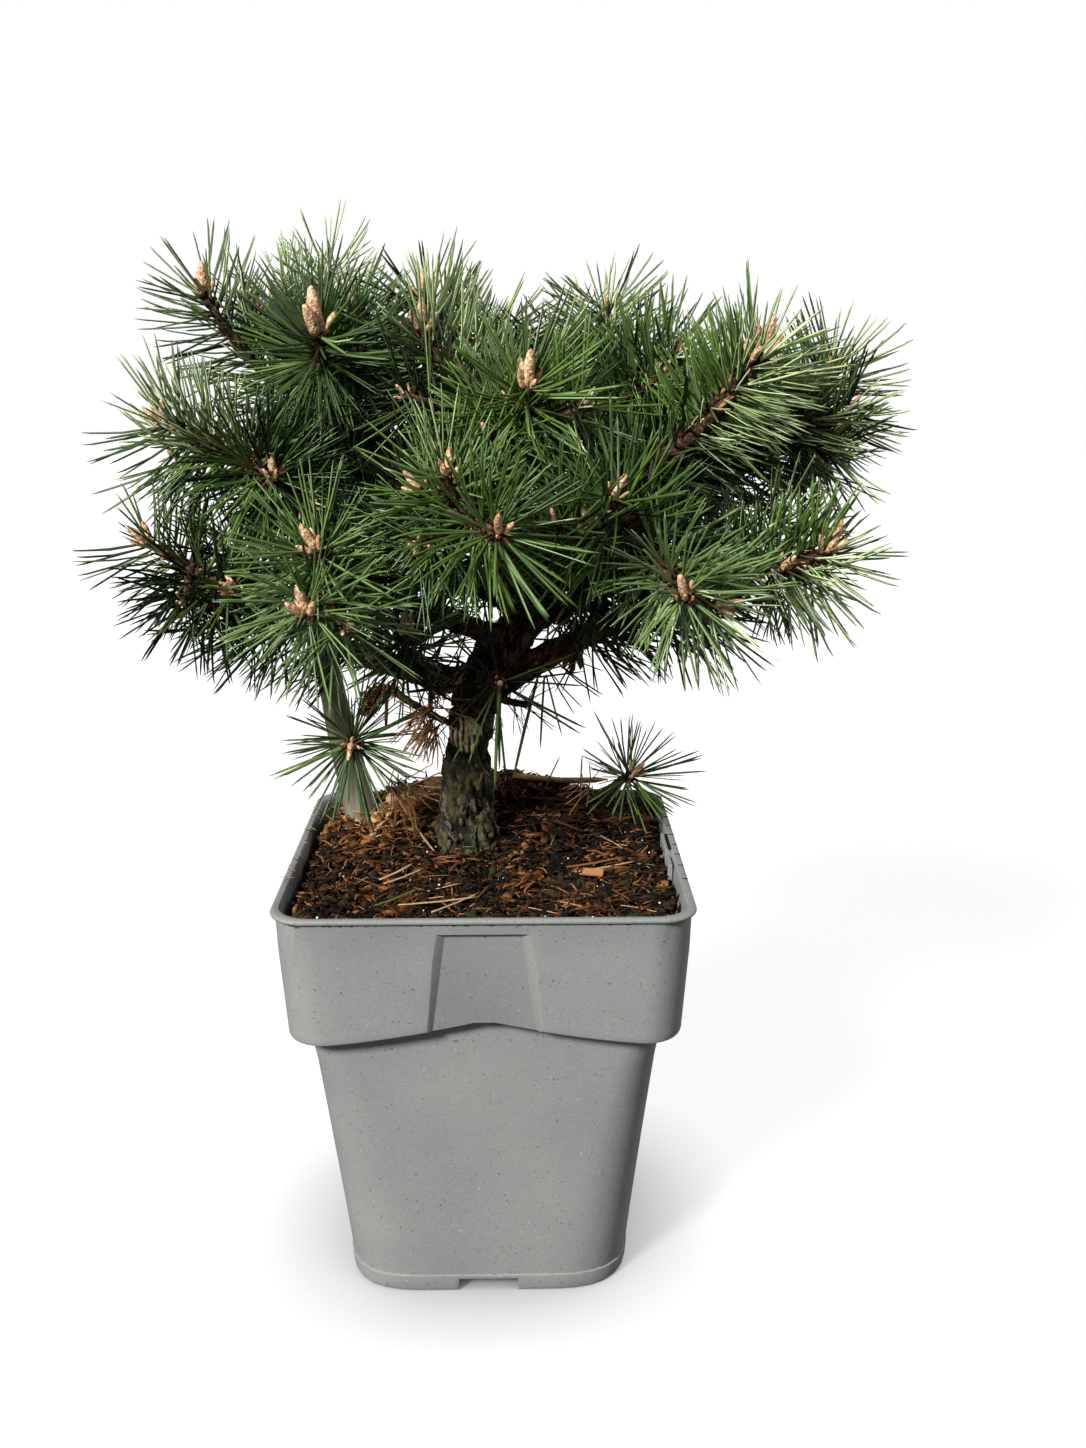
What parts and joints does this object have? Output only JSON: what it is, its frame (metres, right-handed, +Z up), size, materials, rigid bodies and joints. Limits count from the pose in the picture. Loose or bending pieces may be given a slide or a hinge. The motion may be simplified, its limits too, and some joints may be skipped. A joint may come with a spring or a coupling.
{
  "type": "potted mugo pine",
  "caption": "Young mugo pine, broad low crown of stiff paired needles with pale buds on a short forked trunk, in a square tapered grey nursery pot of bark mulch.",
  "frame": {"origin": "centre of the pot's flat underside, on the surface the pot stands on", "axes": "+Z up along the trunk, -Y towards the side the picture shows, +X to the right in the picture"},
  "size_m": [0.2941, 0.2488, 0.3908],
  "materials": {
    "pot_plastic": "matte",
    "bark_mulch": "matte",
    "pine_bark": "matte",
    "pale_bark": "matte",
    "needles": "satin"
  },
  "bodies": {
    "root": {"bough_back": "pine_bark", "bough_back_left": "pine_bark", "bough_back_right": "pine_bark", "bough_far_right": "pine_bark", "bough_front": "pine_bark", "bough_front_left": "pine_bark", "bough_front_right": "pine_bark", "bough_front_top": "pine_bark", "bough_left": "pine_bark", "bough_mid_left": "pine_bark", "bough_right": "pine_bark", "bough_top_left": "pine_bark", "bough_top_right": "pine_bark", "bough_upper_left": "pine_bark", "bough_upper_right": "pine_bark", "mass_back_high": "needles", "mass_back_left_high": "needles", "mass_back_left_low": "needles", "mass_back_low_left": "needles", "mass_back_low_right": "needles", "mass_back_middle": "needles", "mass_back_right_high": "needles", "mass_back_right_low": "needles", "mass_crown_front": "needles", "mass_crown_left": "needles", "mass_crown_middle": "needles", "mass_crown_right": "needles", "mass_far_right": "needles", "mass_far_right_high": "needles", "mass_front_high": "needles", "mass_front_left_high": "needles", "mass_front_left_low": "needles", "mass_front_low": "needles", "mass_front_middle": "needles", "mass_front_right_high": "needles", "mass_front_right_low": "needles", "mass_inner_front": "needles", "mass_left_high": "needles", "mass_left_inner": "needles", "mass_left_low": "needles", "mass_left_under": "needles", "mass_low_left": "needles", "mass_low_right": "needles", "mass_right": "needles", "mass_top": "needles", "mass_top_left": "needles", "mass_top_right": "needles", "mass_upper_left": "needles", "mass_upper_right": "needles", "mulch": "bark_mulch", "pot": "pot_plastic", "stem_left": "pale_bark", "stem_low_right": "pine_bark", "trunk": "pine_bark", "twig_low_left": "pine_bark"}
  },
  "joints": []
}
